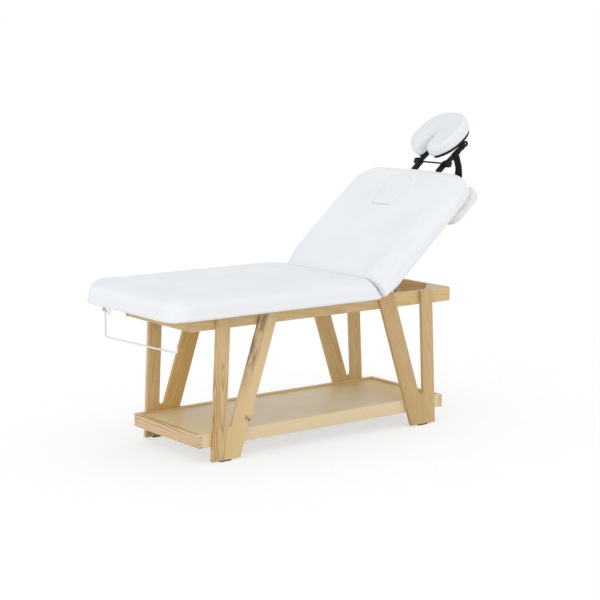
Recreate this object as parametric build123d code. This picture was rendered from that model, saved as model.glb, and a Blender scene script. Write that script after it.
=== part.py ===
from build123d import *
import os
from math import cos, radians, sin, tan

os.makedirs("parts", exist_ok=True)

# A massage table on a wooden frame, with a storage shelf, a raised backrest on a notched prop,
# a face cradle in two sockets, an armrest slung behind the backrest and a wire roll holder.
# Sizes are in millimetres and angles in degrees. +X points to the head end, +Z up.
# The floor is at zero, and until the last step zero in X is the middle of the frame.

# Clearances shared by all pieces
overrun = 5
running_gap = 0.05
soft_gap = 0.3
joint_gap = 0.2

# Top frame
frame_length = 1435
side_overhang = 124
frame_top = 630
rail_height = 64
rail_thick = 22
rail_round = 2
cross_rail_setback = 109
gusset_side = 112
gusset_thick = 18

# Legs: an outer post and an inner strut that share one foot
leg_thick = 19
leg_setback = 93.5
post_width = 67
post_splay = 2.8
strut_toe = 142
strut_width = 86
strut_lean = 18.3
crotch_radius = 14.5
leg_round = 3
glide_length = 60
glide_width = 14
glide_height = 6

# Shelf tray
shelf_setback = 36.5
shelf_top = 126
shelf_rail_height = 58
shelf_rail_thick = 20
finger_count = 8
panel_recess = 9
panel_thick = 12
cleat_size = 16

# Pads and their boards
pad_width = 760
pad_skirt = 12
board_thick = 12
foot_overhang = 164
foot_pad_thick = 97
foot_corner_radius = 103
top_round = 62
low_round = 13
back_lift = 2.2
back_length = 722.4
back_thick = 96
back_corner_radius = 120

# The pads' ends at the hinge lean apart, so that the backrest can rise
foot_end_gap = 7.2
foot_end_angle = 34
foot_end_round = 18
back_end_gap = 4
back_end_angle = 12
back_end_round = 20
foot_board_setback = 34
back_board_setback = 24

# Three hinges between the boards
hinge_setback = 488.5
hinge_count = 3
hinge_spacing = 250
hinge_length = 76
leaf_width = 60
leaf_thick = 2
barrel_radius = 4
hinge_pin_radius = 2
knuckle_count = 5
knuckle_gap = 0.3
barrel_room = 5
rest_angle = 41.4

# Prop: a swinging bail whose foot bar stands in a pair of notched racks
prop_reach = 175
prop_slope = 8
prop_inset = 84
prop_arm_width = 18
prop_arm_thick = 5
prop_pivot_radius = 4
foot_bar_radius = 5
bracket_plate = 3
bracket_length = 52
bracket_flange = 14
cheek_radius = 11
side_gap = 0.4
rack_thick = 14
rack_pitch = 20
rack_notches = 6
notch_depth = 6
notch_run = 10
crest_gap = 0.3
rack_margin = 14
rack_foot_rise = 4
bar_end_gap = 1

# Face hole and its plug
plug_setback = 266.4
plug_length = 188
plug_foot_width = 144
plug_head_width = 182
plug_foot_radius = 15
plug_head_radius = 72
plug_gap = 0.8
plug_board_thick = 9
plug_rise = 1.5
plug_round = 6

# Face cradle
post_radius = 8
post_spread = 93.5
post_rise = 20.8
post_inset = 62
socket_depth = 90
socket_wall = 8
pivot_reach = 87.6
tongue_length = 54
tongue_thick = 11.7
tongue_width = 26
cross_rod_radius = 4
arm_spread = 95
arm_thick = 6
arm_width = 24
arm_hub_radius = 17
arm_length = 150
arm_slope = 4.9
eyelet_radius = 14
eyelet_hole = 4.5
tilt_pivot_setback = 24
rivet_radius = 5
rivet_hole = 3
rivet_head = 2
knob_radius = 18
knob_thick = 17
knob_boss_radius = 11
knob_boss = 4
knob_lobes = 6
knob_flute_radius = 6
knob_round = 2
knob_cover = 6

# Face cushion and its platform
cushion_size = 283
cushion_thick = 64
cushion_corner = 128
cushion_tilt = 5.4
cushion_reach = 115.3
cushion_rise = 58.1
slot_end_width = 30
slot_mouth_width = 55
slot_end_place = 12
slot_mouth_round = 36
cushion_top_round = 33
cushion_low_round = 17
plate_thick = 12
plate_inset = 14
plate_round = 2
lug_thick = 5
lug_radius = 12
lug_length = 70

# Armrest slung behind the backrest
armrest_setback = 186.4
armrest_depth = 205
armrest_length = 620
armrest_thick = 60
armrest_drop = 45
armrest_corner = 58
armrest_top_round = 27
armrest_low_round = 16
armrest_board_inset = 22
webbing_width = 40
webbing_thick = 2.5
webbing_spread = 200
webbing_lap = 45

# Strap from the near cradle arm to the armrest
strap_width = 44
strap_place = 77
strap_straight = 105
strap_twist = 62
strap_twist_shift = 27
strap_steps = 4

# Wire roll holder under the foot end
holder_setback = 21.5
holder_inset = 69
wire_radius = 4
wire_drop = 116
wire_run = 496
wire_swing = 5
wire_upturn = 36
wire_bend = 9
wire_head_radius = 7
wire_head_thick = 3
bracket_width = 18
eye_drop = 18
eye_thick = 4
eye_margin = 9
hook_step = 40
hook_span = 20
hook_drop = 19
hook_wire_radius = 2.5
screw_radius = 4
screw_height = 2.5

# Places worked out from the sizes above
half_length = frame_length / 2
half_width = pad_width / 2 - side_overhang
rail_bottom = frame_top - rail_height
foot_reach = half_length - leg_setback
strut_reach = foot_reach - strut_toe
shelf_length = frame_length - 2 * shelf_setback
foot_pad_end = half_length + foot_overhang
hinge_x = half_length - hinge_setback
hinge_z = frame_top + board_thick + leaf_thick - barrel_radius
cross_rail_place = hinge_x - cross_rail_setback
prop_spread = half_width - rail_thick - prop_inset
back_end = hinge_x + back_length
plug_start = back_end - plug_setback
armrest_start = back_end - armrest_setback
back_bottom = frame_top + back_lift
back_board_top = back_bottom + board_thick
leaf_low = frame_top + board_thick
leaf_high = leaf_low + leaf_thick
post_z = back_bottom + post_rise
cradle_pivot_x = back_end + pivot_reach
cushion_place = cradle_pivot_x + cushion_reach
holder_x = holder_setback - foot_pad_end
holder_offset = half_width - holder_inset
hook_offset = holder_offset - hook_step
foot_side = -1
head_side = 1
near_side = -1
far_side = 1


def block(x_low, x_high, y_low, y_high, z_low, z_high):
    """A square-edged piece between two limits on each axis."""
    size = Box(x_high - x_low, y_high - y_low, z_high - z_low)
    return Pos((x_low + x_high) / 2, (y_low + y_high) / 2, (z_low + z_high) / 2) * size


def side_board(profile, y_low, y_high):
    """A profile drawn in X and Z, made solid between two places in Y."""
    return extrude(Plane.XZ.offset(-y_high) * profile, y_high - y_low)


def cross_bar(x, z, radius, y_low, y_high):
    """A round bar that runs across the table."""
    return side_board(Pos(x, z) * Circle(radius), y_low, y_high)


def both_sides(shape):
    """The shape and its mirror image across the table's middle."""
    return [shape, mirror(shape, about=Plane.XZ)]


def on_side(shape, side):
    """A shape drawn on the far side, kept there or mirrored to the near side."""
    return both_sides(shape)[0] if side == far_side else both_sides(shape)[1]


def raised(shape):
    """A shape drawn with the backrest flat, swung up to the backrest's rest angle."""
    return shape.rotate(Axis((hinge_x, 0, hinge_z), (0, -1, 0)), rest_angle)


def joined(shapes):
    """Several solids kept as one piece of the part."""
    return Compound(children=[solid for shape in shapes for solid in shape.solids()])


# Wooden frame

def eased(rail, axis):
    """A rail with its edges rounded along its length."""
    return fillet(rail.edges().filter_by(axis), rail_round)


def long_rail(side):
    outer = side * half_width
    inner = side * (half_width - rail_thick)
    rail = block(-half_length, half_length, min(outer, inner), max(outer, inner), rail_bottom, frame_top)
    return eased(rail, Axis.X)


def end_rail(end):
    outer = end * half_length
    inner = end * (half_length - rail_thick)
    reach = half_width - rail_thick - joint_gap
    rail = block(min(outer, inner), max(outer, inner), -reach, reach, rail_bottom, frame_top)
    return eased(rail, Axis.Y)


def cross_rail():
    reach = half_width - rail_thick - joint_gap
    low = cross_rail_place - rail_thick / 2
    return eased(block(low, low + rail_thick, -reach, reach, rail_bottom, frame_top), Axis.Y)


def corner_gussets():
    corner_x = half_length - rail_thick
    corner_y = half_width - rail_thick
    shapes = []
    for end in (foot_side, head_side):
        for side in (near_side, far_side):
            points = [
                (end * corner_x, side * corner_y),
                (end * (corner_x - gusset_side), side * corner_y),
                (end * corner_x, side * (corner_y - gusset_side)),
            ]
            triangle = make_face(Polyline(*points, close=True))
            low = Pos(0, 0, frame_top - gusset_thick)
            shapes.append(low * extrude(triangle, gusset_thick, dir=(0, 0, 1)))
    return joined(shapes)


# Legs, drawn for the head end and mirrored for the foot end

def post_outer(z):
    return foot_reach - z * tan(radians(post_splay))


def post_inner(z):
    return post_outer(z) - post_width / cos(radians(post_splay))


def strut_inner(z):
    return strut_reach - z * tan(radians(strut_lean))


def strut_outer(z):
    return strut_inner(z) + strut_width / cos(radians(strut_lean))


def leg_outline():
    closing = tan(radians(strut_lean)) - tan(radians(post_splay))
    crotch_z = (strut_outer(0) - post_inner(0)) / closing
    crotch = (post_inner(crotch_z), crotch_z)
    outline = make_face(Polyline(
        (post_outer(glide_height), glide_height),
        (post_outer(frame_top), frame_top),
        (post_inner(frame_top), frame_top),
        crotch,
        (strut_outer(frame_top), frame_top),
        (strut_inner(frame_top), frame_top),
        (strut_inner(glide_height), glide_height),
        close=True,
    ))
    corner = outline.vertices().sort_by_distance(crotch)[0]
    return fillet(corner, crotch_radius)


def whole_leg():
    leg = side_board(leg_outline(), half_width, half_width + leg_thick)
    rims = leg.faces().filter_by(Axis.Y).edges()
    ends = leg.faces().filter_by(Axis.Z).edges()
    return fillet(rims - ends, leg_round)


def post_region():
    """All that lies outward of the line along the post's inner edge."""
    low = glide_height - overrun
    high = frame_top + overrun
    outline = make_face(Polyline(
        (post_inner(low), low),
        (post_inner(high), high),
        (foot_reach + overrun, high),
        (foot_reach + overrun, low),
        close=True,
    ))
    return side_board(outline, half_width - overrun, half_width + leg_thick + overrun)


def placed_leg(shape, end, side):
    """Moves a piece of the far head leg to its own corner."""
    if end == foot_side:
        shape = mirror(shape, about=Plane.YZ)
    if side == near_side:
        shape = mirror(shape, about=Plane.XZ)
    return shape


def foot_glides():
    middle = (foot_reach + strut_reach) / 2
    glide = extrude(SlotOverall(glide_length, glide_width), glide_height)
    glide = Pos(middle, half_width + leg_thick / 2) * glide
    corners = [(end, side) for end in (foot_side, head_side) for side in (near_side, far_side)]
    return joined([placed_leg(glide, end, side) for end, side in corners])


# Shelf tray with finger joints at its corners

def shelf_rails():
    """Two long and two end rails, whose ends interlock in alternate fingers."""
    half_shelf = shelf_length / 2
    low = shelf_top - shelf_rail_height
    finger = shelf_rail_height / finger_count
    near = block(-half_shelf, half_shelf, -half_width, -half_width + shelf_rail_thick, low, shelf_top)
    foot = block(-half_shelf, -half_shelf + shelf_rail_thick, -half_width, half_width, low, shelf_top)
    for index in range(finger_count):
        z_low = low + index * finger
        for corner in (foot_side, head_side):
            if index % 2 == 0:
                outer = corner * (half_shelf + overrun)
                inner = corner * (half_shelf - shelf_rail_thick - joint_gap)
                near -= block(min(outer, inner), max(outer, inner), -half_width - overrun,
                              -half_width + shelf_rail_thick + overrun, z_low - joint_gap, z_low + finger)
            else:
                outer = corner * (half_width + overrun)
                inner = corner * (half_width - shelf_rail_thick - joint_gap)
                foot -= block(-half_shelf - overrun, -half_shelf + shelf_rail_thick + overrun,
                              min(outer, inner), max(outer, inner), z_low - joint_gap, z_low + finger)
    return near, mirror(near, about=Plane.XZ), foot, mirror(foot, about=Plane.YZ)


def shelf_panel():
    reach_x = shelf_length / 2 - shelf_rail_thick - joint_gap
    reach_y = half_width - shelf_rail_thick - joint_gap
    high = shelf_top - panel_recess
    return block(-reach_x, reach_x, -reach_y, reach_y, high - panel_thick, high)


def shelf_cleats():
    reach_x = shelf_length / 2 - shelf_rail_thick - joint_gap
    outer = half_width - shelf_rail_thick
    high = shelf_top - panel_recess - panel_thick
    return joined(both_sides(block(-reach_x, reach_x, outer - cleat_size, outer, high - cleat_size, high)))


# Pads

def rounded_plan(x_low, x_high, width, low_radius, high_radius):
    """A plan outline with one radius at the low X corners and one at the high X corners."""
    plan = Pos((x_low + x_high) / 2, 0) * Rectangle(x_high - x_low, width)
    if low_radius:
        plan = fillet(plan.vertices().group_by(Axis.X)[0], low_radius)
    if high_radius:
        plan = fillet(plan.vertices().group_by(Axis.X)[-1], high_radius)
    return plan


def crowned_pad(plan, bottom, thick, square_end):
    """A pad with a full round along its top, save along its square end."""
    pad = Pos(0, 0, bottom) * extrude(plan, thick)
    end_edges = pad.faces().sort_by(Axis.X)[square_end].edges()
    rim = pad.faces().sort_by(Axis.Z)[-1].edges()
    return fillet(rim - end_edges, top_round)


def leaning_end(pad, place, outward, lean, radius):
    """Cuts a pad's hinge end on a slant through a place beside the hinge, and rounds it and the base."""
    normal = Vector(outward * cos(radians(lean)), 0, sin(radians(lean)))
    plane = Plane(origin=(place, 0, hinge_z), z_dir=normal)
    pad = split(pad, bisect_by=plane, keep=Keep.BOTTOM)
    base_edges = pad.faces().sort_by(Axis.Z)[0].edges()
    end_face = pad.faces().sort_by(lambda face: face.normal_at().dot(normal))[-1]
    pad = fillet(end_face.edges() - base_edges, radius)
    return fillet(pad.faces().sort_by(Axis.Z)[0].edges(), low_round)


def hinge_places():
    first = -hinge_spacing * (hinge_count - 1) / 2
    return [first + index * hinge_spacing for index in range(hinge_count)]


def hinge_room(toward):
    """What the pads leave free for the leaf on one side and for the barrels."""
    shapes = []
    reach = hinge_length / 2 + soft_gap
    for y in hinge_places():
        start = hinge_x
        end = hinge_x + toward * (leaf_width + soft_gap)
        low = leaf_low - soft_gap
        high = max(leaf_high, back_board_top) + soft_gap
        shapes.append(block(min(start, end), max(start, end), y - reach, y + reach, low, high))
        shapes.append(cross_bar(hinge_x, hinge_z, barrel_radius + barrel_room, y - reach, y + reach))
    return shapes


def foot_board_shape(gap):
    plan = rounded_plan(
        -foot_pad_end + pad_skirt - gap,
        hinge_x - foot_board_setback + gap,
        pad_width - 2 * (pad_skirt - gap),
        foot_corner_radius - pad_skirt + gap,
        0,
    )
    return Pos(0, 0, frame_top) * extrude(plan, board_thick + gap)


def foot_pad():
    plan = rounded_plan(-foot_pad_end, hinge_x, pad_width, foot_corner_radius, 0)
    pad = crowned_pad(plan, frame_top, foot_pad_thick, -1)
    pad = leaning_end(pad, hinge_x - foot_end_gap, head_side, foot_end_angle, foot_end_round)
    pad -= foot_board_shape(soft_gap)
    for room in hinge_room(foot_side):
        pad -= room
    return pad


def back_board_shape(gap):
    plan = rounded_plan(
        hinge_x + back_board_setback - gap,
        back_end - pad_skirt + gap,
        pad_width - 2 * (pad_skirt - gap),
        0,
        back_corner_radius - pad_skirt + gap,
    )
    return Pos(0, 0, back_bottom) * extrude(plan, board_thick + gap)


def backrest_board():
    board = back_board_shape(0)
    board -= Pos(0, 0, back_bottom - overrun) * extrude(plug_plan(plug_gap), board_thick + 2 * overrun)
    reach = hinge_length / 2 + joint_gap
    for y in hinge_places():
        board -= block(hinge_x, hinge_x + leaf_width + joint_gap, y - reach, y + reach,
                       leaf_low, back_board_top + overrun)
    return board


def socket_block_shape(gap):
    reach = post_radius + socket_wall + gap
    x_high = back_end - pad_skirt + gap
    return block(x_high - socket_depth - gap, x_high, post_spread - reach, post_spread + reach,
                 back_board_top, post_z + reach)


def cradle_sockets():
    """Wooden blocks on the board, each bored for one cradle post."""
    bore = post_bar(back_end - pad_skirt - socket_depth - overrun, back_end, post_radius + running_gap)
    return joined(both_sides(socket_block_shape(0) - bore))


def post_bar(x_low, x_high, radius):
    """A round bar along X on the far cradle post's axis."""
    start = Plane(origin=(x_low, post_spread, post_z), z_dir=(1, 0, 0))
    return extrude(start * Circle(radius), x_high - x_low)


def backrest_pad():
    plan = rounded_plan(hinge_x - pad_skirt, back_end, pad_width, 0, back_corner_radius)
    pad = crowned_pad(plan, back_bottom, back_thick, 0)
    pad = leaning_end(pad, hinge_x - back_end_gap, foot_side, back_end_angle, back_end_round)
    pad -= back_board_shape(soft_gap)
    pad -= Pos(0, 0, back_bottom - overrun) * extrude(plug_plan(plug_gap), back_thick + 2 * overrun)
    for room in hinge_room(head_side):
        pad -= room
    for room in both_sides(socket_block_shape(soft_gap)):
        pad -= room
    post_hole = post_bar(back_end - pad_skirt - overrun, back_end + overrun, post_radius + socket_wall / 8)
    for room in both_sides(post_hole):
        pad -= room
    return pad


# Face plug

def plug_plan(gap):
    """The plug's outline: a flat foot end, sides that widen and a round head end."""
    foot_half = plug_foot_width / 2 + gap
    head_half = plug_head_width / 2 + gap
    low = plug_start - gap
    high = plug_start + plug_length + gap
    plan = make_face(Polyline(
        (low, -foot_half),
        (high, -head_half),
        (high, head_half),
        (low, foot_half),
        close=True,
    ))
    plan = fillet(plan.vertices().group_by(Axis.X)[0], plug_foot_radius + gap)
    return fillet(plan.vertices().group_by(Axis.X)[-1], plug_head_radius + gap)


def face_plug_board():
    return Pos(0, 0, back_bottom + plug_rise) * extrude(plug_plan(0), plug_board_thick)


def face_plug():
    low = back_bottom + plug_rise + plug_board_thick
    plug = Pos(0, 0, low) * extrude(plug_plan(0), back_bottom + back_thick - low)
    return fillet(plug.faces().sort_by(Axis.Z)[-1].edges(), plug_round)


# Hinges

def hinge_leaf(y_middle, toward, own_knuckles):
    """One leaf: a plate, and the knuckles that carry it on the pin."""
    y_low = y_middle - hinge_length / 2
    y_high = y_low + hinge_length
    near_edge = hinge_x + toward * (barrel_radius + knuckle_gap)
    far_edge = hinge_x + toward * leaf_width
    leaf = block(min(near_edge, far_edge), max(near_edge, far_edge), y_low, y_high, leaf_low, leaf_high)
    pitch = hinge_length / knuckle_count
    for index in own_knuckles:
        start = y_low + index * pitch + knuckle_gap / 2
        end = start + pitch - knuckle_gap
        leaf += cross_bar(hinge_x, hinge_z, barrel_radius, start, end)
        leaf += block(min(hinge_x, near_edge), max(hinge_x, near_edge), start, end, leaf_low, leaf_high)
    bore = cross_bar(hinge_x, hinge_z, hinge_pin_radius + running_gap, y_low - overrun, y_high + overrun)
    return leaf - bore


def hinge_leaves(toward):
    start = 0 if toward == foot_side else 1
    own = range(start, knuckle_count, 2)
    return joined([hinge_leaf(y, toward, own) for y in hinge_places()])


def hinge_pins():
    reach = hinge_length / 2
    places = hinge_places()
    return joined([cross_bar(hinge_x, hinge_z, hinge_pin_radius, y - reach, y + reach) for y in places])


# Prop, with the notched racks that its foot bar stands in

def on_prop_line(along, above):
    """A point in X and Z, given along the foot bar's straight path from the hinge and above it."""
    slope = radians(prop_slope)
    x = hinge_x + along * cos(slope) + above * sin(slope)
    return x, hinge_z - along * sin(slope) + above * cos(slope)


def prop_pivot():
    """The prop's pivot under the backrest, as it lies with the backrest flat."""
    return on_prop_line(prop_reach, 0)


def bar_distance():
    """How far the foot bar stands from the hinge at rest."""
    return 2 * prop_reach * cos(radians(rest_angle))


def prop_bail():
    """Two flat arms on one foot bar, as long as the pivot is far from the hinge."""
    pivot_x, pivot_z = prop_pivot()
    foot_x, foot_z = on_prop_line(2 * prop_reach, 0)
    middle = Pos((pivot_x + foot_x) / 2, (pivot_z + foot_z) / 2) * Rot(0, 0, -prop_slope)
    outline = middle * SlotCenterToCenter(prop_reach, prop_arm_width)
    outline -= Pos(pivot_x, pivot_z) * Circle(prop_pivot_radius + running_gap)
    arm = side_board(outline, prop_spread - prop_arm_thick / 2, prop_spread + prop_arm_thick / 2)
    reach = half_width - rail_thick - bar_end_gap
    bail = cross_bar(foot_x, foot_z, foot_bar_radius, -reach, reach)
    for shape in both_sides(arm):
        bail += shape
    return raised(bail.rotate(Axis((pivot_x, 0, pivot_z), (0, -1, 0)), -2 * rest_angle))


def prop_brackets():
    """Clevises screwed under the backrest board."""
    pivot_x, pivot_z = prop_pivot()
    inner = prop_arm_thick / 2 + side_gap
    outer = inner + bracket_plate
    web_low = back_bottom - bracket_plate
    reach = outer + bracket_flange
    bracket = block(pivot_x - bracket_length / 2, pivot_x + bracket_length / 2,
                    prop_spread - reach, prop_spread + reach, web_low, back_bottom)
    cheek = Pos(pivot_x, pivot_z) * Circle(cheek_radius)
    cheek += Pos(pivot_x, (pivot_z + web_low) / 2) * Rectangle(2 * cheek_radius, web_low - pivot_z)
    cheek -= Pos(pivot_x, pivot_z) * Circle(prop_pivot_radius + running_gap)
    bracket += side_board(cheek, prop_spread - outer, prop_spread - inner)
    bracket += side_board(cheek, prop_spread + inner, prop_spread + outer)
    return joined(both_sides(bracket))


def prop_pins():
    pivot_x, pivot_z = prop_pivot()
    reach = prop_arm_thick / 2 + side_gap + 2 * bracket_plate
    pin = cross_bar(pivot_x, pivot_z, prop_pivot_radius, prop_spread - reach, prop_spread + reach)
    return joined(both_sides(pin))


def prop_rack(side):
    """A strip on the inner face of a long rail, with slanted notches along the foot bar's path."""
    crest = -foot_bar_radius - crest_gap
    first = bar_distance() - rack_pitch
    last = first + (rack_notches - 1) * rack_pitch
    points = [on_prop_line(first - notch_run - rack_margin, crest)]
    for index in range(rack_notches):
        seat = first + index * rack_pitch
        points.append(on_prop_line(seat - notch_run, crest))
        points.append(on_prop_line(seat + foot_bar_radius, crest - notch_depth))
        points.append(on_prop_line(seat + foot_bar_radius, crest))
    points.append(on_prop_line(last + foot_bar_radius + rack_margin, crest))
    foot_z = rail_bottom + rack_foot_rise
    points.append((points[-1][0], foot_z))
    points.append((points[0][0], foot_z))
    outline = make_face(Polyline(*points, close=True))
    inner = half_width - rail_thick
    strip = side_board(outline, inner - rack_thick, inner)
    return on_side(strip, side)


# Face cradle, drawn with the backrest flat

def along_arm(distance):
    """A point in X and Z on the cradle arm's centre line."""
    slope = radians(arm_slope)
    return cradle_pivot_x + distance * cos(slope), post_z - distance * sin(slope)


def cradle_posts():
    """Round posts that end in flat tongues beside the arms."""
    post = post_bar(back_end - post_inset, cradle_pivot_x - tongue_length / 2, post_radius)
    tongue = SlotCenterToCenter(tongue_length, tongue_width)
    outline = Pos(cradle_pivot_x - tongue_length / 2, post_z) * tongue
    outline -= Pos(cradle_pivot_x, post_z) * Circle(cross_rod_radius + running_gap)
    outer = arm_spread - arm_thick / 2 - soft_gap
    post += side_board(outline, outer - tongue_thick, outer)
    return joined(both_sides(post))


def cross_rod():
    reach = arm_spread + arm_thick / 2 + knob_boss + knob_thick - knob_cover
    return cross_bar(cradle_pivot_x, post_z, cross_rod_radius, -reach, reach)


def cradle_arm(side):
    """A flat arm from the clamped hub to an open eyelet, with the platform's pivot between them."""
    end_x, end_z = along_arm(arm_length)
    pivot_x, pivot_z = along_arm(arm_length - tilt_pivot_setback)
    middle_x, middle_z = along_arm(arm_length / 2)
    outline = Pos(middle_x, middle_z) * Rot(0, 0, -arm_slope) * SlotCenterToCenter(arm_length, arm_width)
    outline += Pos(cradle_pivot_x, post_z) * Circle(arm_hub_radius)
    outline += Pos(end_x, end_z) * Circle(eyelet_radius)
    outline += Pos(pivot_x, pivot_z) * Circle(eyelet_radius)
    outline -= Pos(end_x, end_z) * Circle(eyelet_hole)
    outline -= Pos(pivot_x, pivot_z) * Circle(rivet_radius + running_gap)
    outline -= Pos(cradle_pivot_x, post_z) * Circle(cross_rod_radius + running_gap)
    arm = side_board(outline, arm_spread - arm_thick / 2, arm_spread + arm_thick / 2)
    return on_side(arm, side)


def clamp_knob(side):
    """A fluted hand knob on the end of the cross rod."""
    start = arm_spread + arm_thick / 2 + soft_gap
    knob = extrude(Circle(knob_radius), knob_thick)
    for index in range(knob_lobes):
        place = Rot(0, 0, index * 360 / knob_lobes) * Pos(knob_radius + knob_flute_radius / 3, 0)
        knob -= place * extrude(Circle(knob_flute_radius), knob_thick)
    knob = fillet(knob.faces().sort_by(Axis.Z)[-1].edges(), knob_round)
    knob = Pos(0, 0, knob_boss) * knob + extrude(Circle(knob_boss_radius), knob_boss)
    knob -= extrude(Circle(cross_rod_radius + running_gap), knob_boss + knob_thick - knob_cover + soft_gap)
    knob = Plane(origin=(cradle_pivot_x, start, post_z), x_dir=(1, 0, 0), z_dir=(0, 1, 0)) * knob
    return on_side(knob, side)


# Face cushion and platform, drawn flat about the cushion's middle, then tilted into place

def tilted(shape):
    """Puts a shape drawn about the cushion's underside in its place on the cradle."""
    return Pos(cushion_place, 0, back_bottom + cushion_rise) * Rot(0, cushion_tilt, 0) * shape


def horseshoe_plan(inset):
    """A round outline with a slot that opens towards the table, drawn in by an inset."""
    size = cushion_size - 2 * inset
    plan = RectangleRounded(size, size, cushion_corner - inset)
    end_half = slot_end_width / 2 + inset / 2
    mouth_half = slot_mouth_width / 2 + inset / 2
    mouth = -cushion_size / 2 - overrun
    end = -slot_end_place + inset / 2
    slot = make_face(Polyline((mouth, -mouth_half), (end - end_half, -end_half), (end - end_half, end_half),
                              (mouth, mouth_half), close=True))
    slot += Pos(end - end_half, 0) * Circle(end_half)
    return plan - slot


def horseshoe(inset, thick, mouth_round, top_radius, low_radius):
    shape = extrude(horseshoe_plan(inset), thick)
    corners = shape.edges().filter_by(Axis.Z).group_by(Axis.X)[0]
    shape = fillet(corners, mouth_round)
    shape = fillet(shape.faces().sort_by(Axis.Z)[-1].edges(), top_radius)
    return fillet(shape.faces().sort_by(Axis.Z)[0].edges(), low_radius)


def face_cushion():
    return tilted(horseshoe(0, cushion_thick, slot_mouth_round, cushion_top_round, cushion_low_round))


def platform_plate():
    plate = horseshoe(plate_inset, plate_thick, slot_mouth_round - plate_inset, plate_round, plate_round)
    return tilted(Pos(0, 0, -plate_thick - soft_gap) * plate)


def platform_lugs():
    """Plates under the platform that reach down to the tilt pivots beside the arms."""
    pivot_x, pivot_z = along_arm(arm_length - tilt_pivot_setback)
    tilt = radians(cushion_tilt)
    away_x = pivot_x - cushion_place
    away_z = pivot_z - back_bottom - cushion_rise
    along = away_x * cos(tilt) - away_z * sin(tilt)
    above = away_x * sin(tilt) + away_z * cos(tilt)
    high = -plate_thick - soft_gap
    outline = make_face(Polyline(
        (along - lug_length / 2, high),
        (along + lug_length / 2, high),
        (along + lug_radius, above),
        (along - lug_radius, above),
        close=True,
    ))
    outline += Pos(along, above) * Circle(lug_radius)
    outline -= Pos(along, above) * Circle(rivet_radius)
    outer = arm_spread - arm_thick / 2 - soft_gap
    return tilted(joined(both_sides(side_board(outline, outer - lug_thick, outer))))


def platform_rivets():
    """Hollow rivets that join the lugs to the arms."""
    pivot_x, pivot_z = along_arm(arm_length - tilt_pivot_setback)
    inner = arm_spread - arm_thick / 2 - soft_gap - lug_thick
    outer = arm_spread + arm_thick / 2 + soft_gap
    rivet = cross_bar(pivot_x, pivot_z, rivet_radius, inner, outer)
    rivet += cross_bar(pivot_x, pivot_z, rivet_radius + rivet_head, outer, outer + rivet_head)
    rivet -= cross_bar(pivot_x, pivot_z, rivet_hole, inner - overrun, outer + overrun)
    return joined(both_sides(rivet))


# Armrest behind the backrest, drawn with the backrest flat

def armrest_top():
    return back_bottom - armrest_drop


def armrest_board_shape(gap):
    inset = armrest_board_inset - gap
    plan = rounded_plan(
        armrest_start + inset,
        armrest_start + armrest_depth - inset,
        armrest_length - 2 * inset,
        armrest_corner - inset,
        armrest_corner - inset,
    )
    return Pos(0, 0, armrest_top() - armrest_thick) * extrude(plan, board_thick + gap)


def armrest_pad():
    end = armrest_start + armrest_depth
    plan = rounded_plan(armrest_start, end, armrest_length, armrest_corner, armrest_corner)
    pad = Pos(0, 0, armrest_top() - armrest_thick) * extrude(plan, armrest_thick)
    pad = fillet(pad.faces().sort_by(Axis.Z)[-1].edges(), armrest_top_round)
    pad = fillet(pad.faces().sort_by(Axis.Z)[0].edges(), armrest_low_round)
    return pad - armrest_board_shape(soft_gap)


def armrest_webbing():
    """Two strips from the backrest board to the armrest's lower edge."""
    start = armrest_start - webbing_thick - soft_gap
    low = armrest_top() - armrest_thick / 2
    y_low = webbing_spread - webbing_width / 2
    y_high = webbing_spread + webbing_width / 2
    drop = block(start, start + webbing_thick, y_low, y_high, low, back_bottom)
    lap = block(start, start + webbing_lap, y_low, y_high, back_bottom - webbing_thick, back_bottom)
    strip = drop + lap
    bend = strip.edges().filter_by(Axis.Y).group_by(Axis.Z)[-1].sort_by(Axis.X)[0]
    return joined(both_sides(fillet(bend, webbing_thick)))


# Strap, drawn as it hangs with the backrest raised

def raised_point(x, z):
    """Where a point drawn with the backrest flat lies at the rest angle."""
    turn = radians(rest_angle)
    away_x = x - hinge_x
    away_z = z - hinge_z
    raised_x = hinge_x + away_x * cos(turn) - away_z * sin(turn)
    raised_z = hinge_z + away_x * sin(turn) + away_z * cos(turn)
    return raised_x, raised_z


def armrest_strap():
    """Webbing looped round the near arm, hanging down and turned flat onto the armrest's edge."""
    loop_x, loop_z = raised_point(*along_arm(strap_place))
    slope = rest_angle - arm_slope
    inside = 2 * soft_gap
    outside = 2 * (soft_gap + webbing_thick)
    inner = RectangleRounded(arm_thick + inside, arm_width + inside, soft_gap)
    outer = RectangleRounded(arm_thick + outside, arm_width + outside, webbing_thick)
    direction = Vector(cos(radians(slope)), 0, sin(radians(slope)))
    start = Vector(loop_x, -arm_spread, loop_z) - direction * (strap_width / 2)
    strap = extrude(Plane(origin=start, x_dir=(0, 1, 0), z_dir=direction) * (outer - inner), strap_width)
    reach = strap_width * cos(radians(slope)) / 2
    half_rise = arm_width / 2 + soft_gap
    top = loop_z - half_rise / cos(radians(slope))
    rise = reach * tan(radians(slope))
    low = loop_z - half_rise - strap_straight
    outline = make_face(Polyline((-reach + loop_x, low), (loop_x + reach, low), (loop_x + reach, top + rise),
                                 (loop_x - reach, top - rise), close=True))
    hanging = side_board(outline, -arm_spread - webbing_thick / 2, -arm_spread + webbing_thick / 2)
    sections = []
    for step in range(strap_steps + 1):
        share = step / strap_steps
        place = Plane(origin=(loop_x - strap_twist_shift * share, -arm_spread, low - strap_twist * share))
        sections.append(place * Rot(0, 0, -90 * share) * Rectangle(2 * reach, webbing_thick))
    return strap + hanging + loft(sections, ruled=True)


# Wire roll holder under the foot end

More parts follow.
